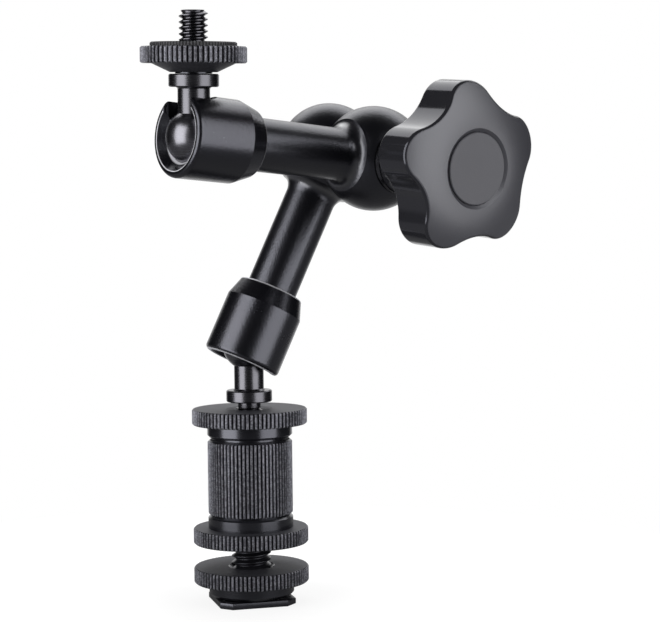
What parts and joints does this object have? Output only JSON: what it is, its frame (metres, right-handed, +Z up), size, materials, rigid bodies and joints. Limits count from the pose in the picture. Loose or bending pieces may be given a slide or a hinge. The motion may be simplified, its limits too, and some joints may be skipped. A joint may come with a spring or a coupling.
{
  "type": "articulating friction arm",
  "caption": "Black friction arm: two ball-ended arms clamped by one star knob at the elbow, with an accessory shoe foot below and a camera screw above.",
  "frame": {"origin": "centre of the shoe foot's flat underside", "axes": "+Z up the adapter's screw axis, X and Y along the edges of the square foot, the lower arm leaning towards +X and the knob facing -Y"},
  "size_m": [0.0883, 0.0672, 0.1378],
  "materials": {
    "brass": "plain turned",
    "cap_plastic": "fine satin",
    "knob_plastic": "glossy sides, fine satin face",
    "knurled_black": "matt dark grey, bead blasted and anodised",
    "pad_rubber": "matt with a fine tread",
    "plain_steel": "plain turned",
    "polished_black": "polished black plating",
    "satin_black": "satin black anodised",
    "seat_polymer": "white acetal",
    "spring_steel": "bright wire"
  },
  "bodies": {
    "foot": {"shoe_foot": "knurled_black"},
    "shoe_wheel": {"shoe_lock_wheel": "knurled_black"},
    "jam_wheel": {"adapter_lock_wheel": "knurled_black"},
    "barrel": {"adapter_barrel": "knurled_black"},
    "lower_stud": {"lower_ball_stud": "polished_black"},
    "lower_nut": {"lower_lock_nut": "knurled_black"},
    "lower_seat": {"lower_ball_seat": "seat_polymer"},
    "lower_arm": {"lower_arm": "satin_black", "lower_socket_cup": "satin_black", "pivot_bush": "brass", "friction_washer": "seat_polymer", "rear_end_plug": "satin_black", "return_spring": "spring_steel"},
    "lower_rod": {"lower_push_rod": "plain_steel"},
    "rear_clamp": {"rear_wedge": "plain_steel", "centre_bolt": "plain_steel"},
    "upper_arm": {"upper_arm": "satin_black", "upper_socket_cup": "satin_black"},
    "upper_rod": {"upper_push_rod": "plain_steel"},
    "front_clamp": {"front_wedge": "plain_steel", "thrust_washer": "plain_steel"},
    "knob": {"star_knob": "knob_plastic", "knob_insert": "brass", "knob_cap": "cap_plastic"},
    "upper_seat": {"upper_ball_seat": "seat_polymer"},
    "upper_stud": {"upper_ball_stud": "polished_black"},
    "pad": {"camera_pad": "pad_rubber"},
    "upper_nut": {"upper_lock_nut": "knurled_black"}
  },
  "joints": [
    {"name": "shoe_wheel_slide", "type": "slide", "parent": "foot", "child": "shoe_wheel", "axis": [0, 0, 1], "range_m": [0, 0.003]},
    {"name": "jam_wheel_slide", "type": "slide", "parent": "foot", "child": "jam_wheel", "axis": [0, 0, 1], "range_m": [-0.0025, 0]},
    {"name": "barrel_turn", "type": "hinge", "parent": "foot", "child": "barrel", "pos_m": [0, 0, 0.03], "axis": [0, 0, 1], "range_deg": [-360, 360]},
    {"name": "lower_stud_turn", "type": "hinge", "parent": "barrel", "child": "lower_stud", "pos_m": [0, 0, 0.04], "axis": [0, 0, 1], "range_deg": [-180, 180]},
    {"name": "lower_nut_slide", "type": "slide", "parent": "lower_stud", "child": "lower_nut", "axis": [0, 0, 1], "range_m": [0, 0.0013]},
    {"name": "lower_ball_tilt", "type": "hinge", "parent": "lower_stud", "child": "lower_seat", "pos_m": [0, 0, 0.06235], "axis": [-0.1711, 0.9853, 0], "range_deg": [-56, 5]},
    {"name": "lower_arm_roll", "type": "hinge", "parent": "lower_seat", "child": "lower_arm", "pos_m": [0, 0, 0.06235], "axis": [0.4277, 0.0743, 0.9008], "continuous": true},
    {"name": "elbow_turn", "type": "hinge", "parent": "lower_arm", "child": "upper_arm", "pos_m": [0.02492, -0.00427, 0.10721], "axis": [0.3692, -0.924, -0.0991], "range_deg": [-255, 58.5]},
    {"name": "lower_rod_slide", "type": "slide", "parent": "lower_arm", "child": "lower_rod", "axis": [0.4277, 0.0743, 0.9008], "range_m": [0, 0.00025325]},
    {"name": "rear_clamp_slide", "type": "slide", "parent": "lower_arm", "child": "rear_clamp", "axis": [-0.3692, 0.924, 0.0991], "range_m": [0, 0.00075], "deforming": ["return_spring"]},
    {"name": "upper_rod_slide", "type": "slide", "parent": "upper_arm", "child": "upper_rod", "axis": [0.9229, 0.3771, -0.0773], "range_m": [0, 0.00025325]},
    {"name": "front_clamp_slide", "type": "slide", "parent": "upper_arm", "child": "front_clamp", "axis": [0.3692, -0.924, -0.0991], "range_m": [0, 0.00075]},
    {"name": "knob_turn", "type": "hinge", "parent": "front_clamp", "child": "knob", "pos_m": [0.02492, -0.00427, 0.10721], "axis": [0.3692, -0.924, -0.0991], "range_deg": [0, 540]},
    {"name": "upper_ball_roll", "type": "hinge", "parent": "upper_arm", "child": "upper_seat", "pos_m": [-0.0187, -0.03146, 0.11026], "axis": [-0.9229, -0.3771, 0.0773], "range_deg": [0, 12]},
    {"name": "upper_ball_swing", "type": "hinge", "parent": "upper_seat", "child": "upper_stud", "pos_m": [-0.0187, -0.03146, 0.11026], "axis": [-0.3719, 0.9254, 0.0731], "range_deg": [-113, 6.5]},
    {"name": "upper_pad_slide", "type": "slide", "parent": "upper_stud", "child": "pad", "axis": [-0.0078, -0.0819, 0.9966], "range_m": [0, 0.00508]},
    {"name": "upper_nut_turn", "type": "hinge", "parent": "pad", "child": "upper_nut", "pos_m": [-0.01884, -0.03293, 0.1282], "axis": [-0.0078, -0.0819, 0.9966], "range_deg": [0, 1440]}
  ],
  "couplings": [
    {"joint": "knob_turn", "follows": "front_clamp_slide", "rad_per_m": 12566},
    {"joint": "rear_clamp_slide", "follows": "front_clamp_slide", "ratio": 1},
    {"joint": "lower_rod_slide", "follows": "front_clamp_slide", "ratio": 0.33766},
    {"joint": "upper_rod_slide", "follows": "front_clamp_slide", "ratio": 0.33766},
    {"joint": "upper_nut_turn", "follows": "upper_pad_slide", "rad_per_m": 4947.4}
  ]
}
